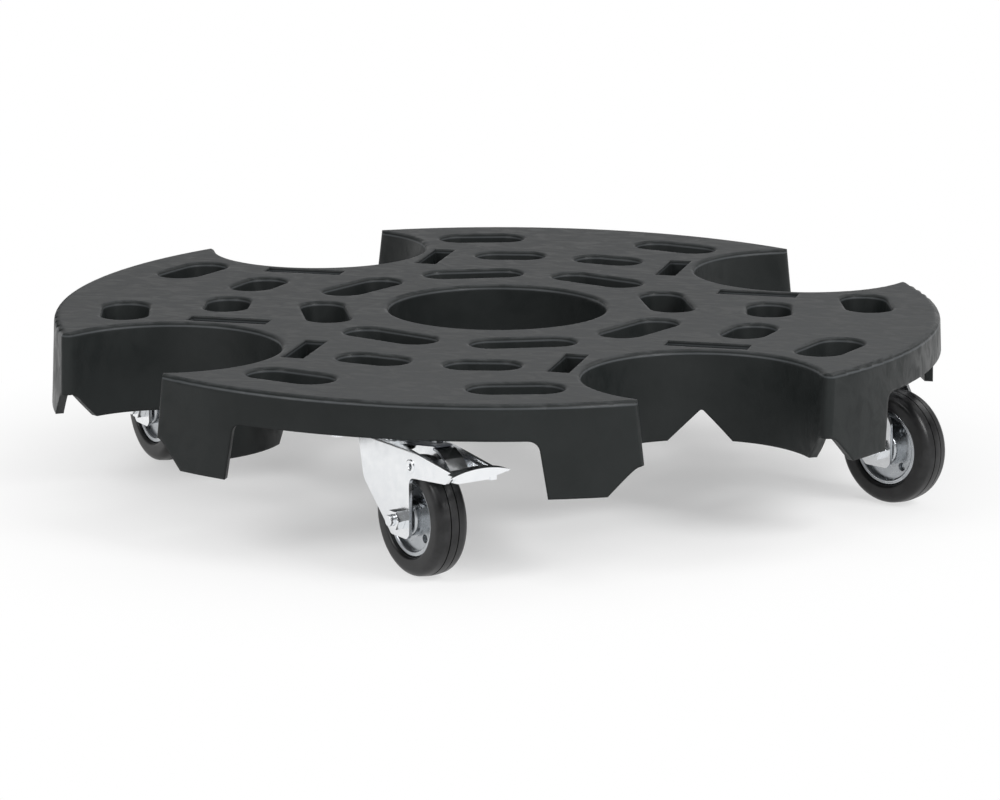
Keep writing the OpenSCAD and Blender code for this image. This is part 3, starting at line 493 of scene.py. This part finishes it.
class CADDY_OT_brakes(bpy.types.Operator):
    """Finish the brake pedals and springs, and roll the rivets that the pedals turn on"""

    bl_idname = "caddy.brakes"
    bl_label = "Brakes"

    def execute(self, context):
        castor = context.scene.caddy_castor
        sheet = plated_steel("zinc_plated_pedal", castor.zinc, castor.zinc_dull, ROUGHNESS["pedal"])
        blued = plated_steel("blued_spring_steel", castor.spring, castor.spring, ROUGHNESS["spring"])
        pedals = [f"brake_pedal_{side}" for side in BRAKED]
        dress(sheet, *pedals)
        soften(*pedals)
        dress(blued, *[f"brake_spring_{side}" for side in BRAKED])
        for side in BRAKED:
            pivot = f"brake_{side}"
            right = rivet_section(*reach(f"pedal_rivet_{side}", pivot))
            left = [(-x, y) for x, y in right]
            rivets = spun_rings(f"rolled_rivets_{side}", [right, left], hinge_frame(pivot),
                                castor.rivet_turns)
            rivets.data.materials.append(sheet)
            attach(rivets, f"castor_{side}")
            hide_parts(f"pedal_rivet_{side}")
        return {"FINISHED"}


class CADDY_OT_stage(bpy.types.Operator):
    """Set the pale floor, the soft studio light and the camera"""

    bl_idname = "caddy.stage"
    bl_label = "Stage"

    def execute(self, context):
        stage = context.scene.caddy_stage
        self.add_floor(stage)
        self.light_world(stage)
        for name, (place, width) in SOFTBOXES.items():
            self.add_softbox(f"softbox_{name}", place, width, getattr(stage, name))
        self.add_camera(stage)
        context.scene.view_settings.view_transform = "Standard"
        return {"FINISHED"}

    def seen_ray(self, tree):
        """A socket that is 1 for what the camera sees, itself or in a reflection."""
        path = add_node(tree, "ShaderNodeLightPath")
        seen = path.outputs["Is Camera Ray"]
        for ray in ("Is Glossy Ray", "Is Transmission Ray"):
            either = add_node(tree, "ShaderNodeMath", {0: seen, 1: path.outputs[ray]}, operation="MAXIMUM")
            seen = either.outputs[0]
        return seen

    def add_floor(self, stage):
        """A wide plain floor that keeps the caddy's shadow, lightened where it is seen."""
        shape = bmesh.new()
        bmesh.ops.create_grid(shape, x_segments=1, y_segments=1, size=stage.floor_size / 2)
        mesh = bpy.data.meshes.new("studio_floor")
        shape.to_mesh(mesh)
        shape.free()
        floor = bpy.data.objects.new("studio_floor", mesh)
        bpy.context.scene.collection.objects.link(floor)
        material, tree = new_material("matt_white_paper")
        lit = add_node(tree, "ShaderNodeBsdfDiffuse", {"Color": rgba(stage.floor)})
        glow = add_node(tree, "ShaderNodeEmission", {"Strength": 1})
        place = add_node(tree, "ShaderNodeTexCoord").outputs["Object"]
        out = add_node(tree, "ShaderNodeVectorMath", {0: place}, operation="LENGTH").outputs["Value"]
        white = add_node(tree, "ShaderNodeMapRange",
                         {0: out, 1: stage.floor_near, 2: stage.floor_far, 3: stage.floor_glow, 4: 1.0},
                         interpolation_type="SMOOTHSTEP")
        share = add_node(tree, "ShaderNodeMath", {0: self.seen_ray(tree), 1: white.outputs[0]},
                         operation="MULTIPLY")
        both = add_node(tree, "ShaderNodeMixShader",
                        {0: share.outputs[0], 1: lit.outputs[0], 2: glow.outputs[0]})
        add_node(tree, "ShaderNodeOutputMaterial", {"Surface": both.outputs[0]})
        mesh.materials.append(material)

    def light_world(self, stage):
        """A pale light from all round, dimmer overhead, whose horizon is seen as white."""
        world = bpy.data.worlds.new("white_studio")
        world.use_nodes = True
        tree = world.node_tree
        tree.nodes.clear()
        place = add_node(tree, "ShaderNodeTexCoord").outputs["Generated"]
        height = add_node(tree, "ShaderNodeSeparateXYZ", {0: place}).outputs["Z"]
        cast = add_node(tree, "ShaderNodeMapRange",
                        {0: height, 1: CAST_BAND[0], 2: CAST_BAND[1], 3: stage.horizon, 4: stage.zenith},
                        interpolation_type="SMOOTHSTEP")
        shown = add_node(tree, "ShaderNodeMapRange",
                         {0: height, 1: SEEN_BAND[0], 2: SEEN_BAND[1], 3: 1.0, 4: stage.zenith},
                         interpolation_type="SMOOTHSTEP")
        strength = add_node(tree, "ShaderNodeMix",
                            {0: self.seen_ray(tree), 2: cast.outputs[0], 3: shown.outputs[0]})
        sky = add_node(tree, "ShaderNodeBackground", {"Color": (1, 1, 1, 1), "Strength": strength.outputs[0]})
        add_node(tree, "ShaderNodeOutputWorld", {"Surface": sky.outputs[0]})
        bpy.context.scene.world = world

    def add_softbox(self, name, place, width, power):
        """A square area light that points at the caddy."""
        lamp = bpy.data.lights.new(name, "AREA")
        lamp.shape = "SQUARE"
        lamp.size = width
        lamp.energy = power
        box = bpy.data.objects.new(name, lamp)
        box.location = place
        box.rotation_euler = (-Vector(place)).to_track_quat("-Z", "Y").to_euler()
        bpy.context.scene.collection.objects.link(box)

    def add_camera(self, stage):
        """A long lens that looks slightly down on the front lobe."""
        out = Vector((math.sin(stage.azimuth) * math.cos(stage.elevation),
                      -math.cos(stage.azimuth) * math.cos(stage.elevation), math.sin(stage.elevation)))
        top = Vector((0, 0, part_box("deck")[1].z))
        camera = bpy.data.objects.new("camera", bpy.data.cameras.new("camera"))
        camera.location = top + out * stage.distance
        camera.rotation_euler = (Vector(stage.aim) - camera.location).to_track_quat("-Z", "Y").to_euler()
        camera.data.sensor_width = 36
        camera.data.lens = stage.lens
        camera.data.clip_end = 100
        bpy.context.scene.collection.objects.link(camera)
        bpy.context.scene.camera = camera


OPERATORS = (CADDY_OT_deck, CADDY_OT_swivels, CADDY_OT_forks, CADDY_OT_wheels, CADDY_OT_brakes,
             CADDY_OT_stage)
SETTINGS = {"caddy_deck": DeckFinish, "caddy_castor": CastorFinish, "caddy_stage": StageSettings}


class CADDY_PT_panel(bpy.types.Panel):
    """Lists the caddy's pieces and their settings"""

    bl_idname = "CADDY_PT_panel"
    bl_label = "Plant Pot Caddy"
    bl_space_type = "VIEW_3D"
    bl_region_type = "UI"
    bl_category = "Caddy"

    def draw(self, context):
        for operator in OPERATORS:
            self.layout.operator(operator.bl_idname)
        for name, group in SETTINGS.items():
            box = self.layout.box()
            for prop in group.__annotations__:
                box.prop(getattr(context.scene, name), prop)


def register():
    for group in SETTINGS.values():
        bpy.utils.register_class(group)
    for cls in (*OPERATORS, CADDY_PT_panel):
        bpy.utils.register_class(cls)
    for name, group in SETTINGS.items():
        setattr(bpy.types.Scene, name, PointerProperty(type=group))


def unregister():
    for name in SETTINGS:
        delattr(bpy.types.Scene, name)
    for cls in (CADDY_PT_panel, *reversed(OPERATORS), *SETTINGS.values()):
        bpy.utils.unregister_class(cls)


def main():
    register()
    bpy.ops.caddy.deck()
    bpy.ops.caddy.swivels()
    bpy.ops.caddy.forks()
    bpy.ops.caddy.wheels()
    bpy.ops.caddy.brakes()
    bpy.ops.caddy.stage()


if __name__ == "__main__":
    main()
